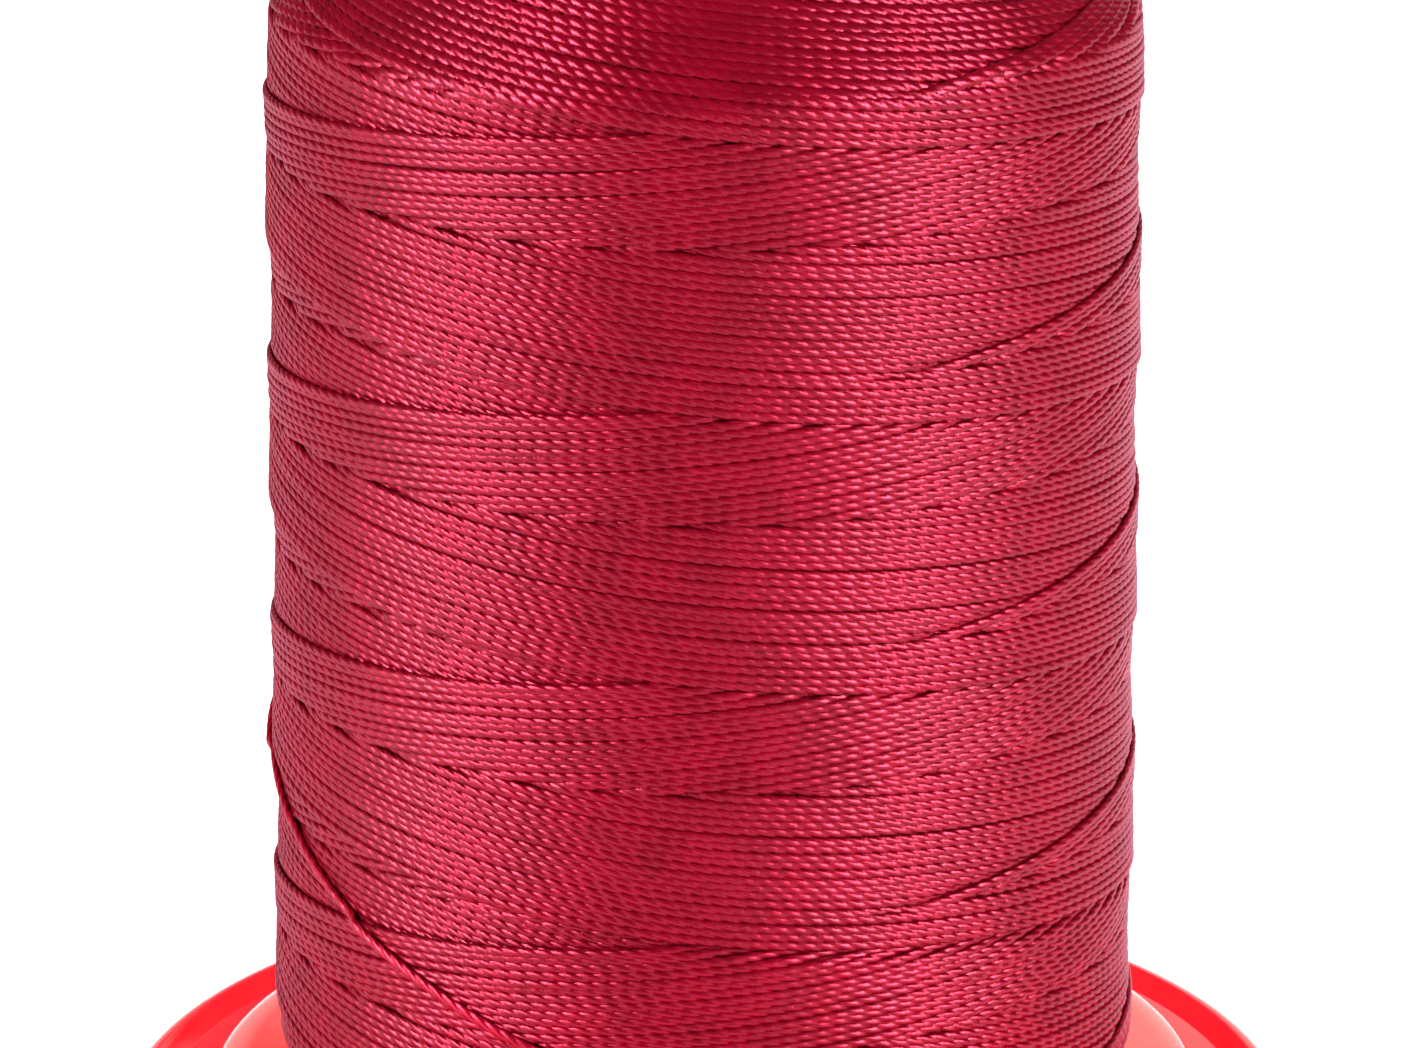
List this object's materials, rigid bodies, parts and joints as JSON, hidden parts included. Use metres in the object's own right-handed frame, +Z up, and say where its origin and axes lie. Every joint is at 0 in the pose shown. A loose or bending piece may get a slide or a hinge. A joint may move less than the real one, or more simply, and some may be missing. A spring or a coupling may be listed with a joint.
{
  "type": "spool of thread",
  "caption": "Cross-wound package of glossy twisted sewing thread on a red plastic tube, with a wide round push-fit foot that locks the thread's free end.",
  "frame": {"origin": "on the spool's axis, in the plane that its foot stands on", "axes": "+Z up along the spool's axis; -Y is the front, where the thread's free end crosses the package; +X is to the right from there"},
  "size_m": [0.0582, 0.0582, 0.0725],
  "materials": {
    "thread": "glossy filament, three-ply twist",
    "tail_thread": "glossy filament, three-ply twist",
    "core_plastic": "moulded, glossy, slightly translucent red",
    "foot_plastic": "moulded, glossy, slightly translucent red",
    "label_paper": "matt, plain"
  },
  "bodies": {
    "spool": {"spool_core": "core_plastic", "thread_winding": "thread", "thread_tail": "tail_thread"},
    "foot": {"snap_foot": "foot_plastic", "ticket_label": "label_paper"}
  },
  "joints": [
    {"name": "foot_snap", "type": "slide", "parent": "spool", "child": "foot", "axis": [0, 0, -1], "range_m": [0, 0.0025]}
  ]
}
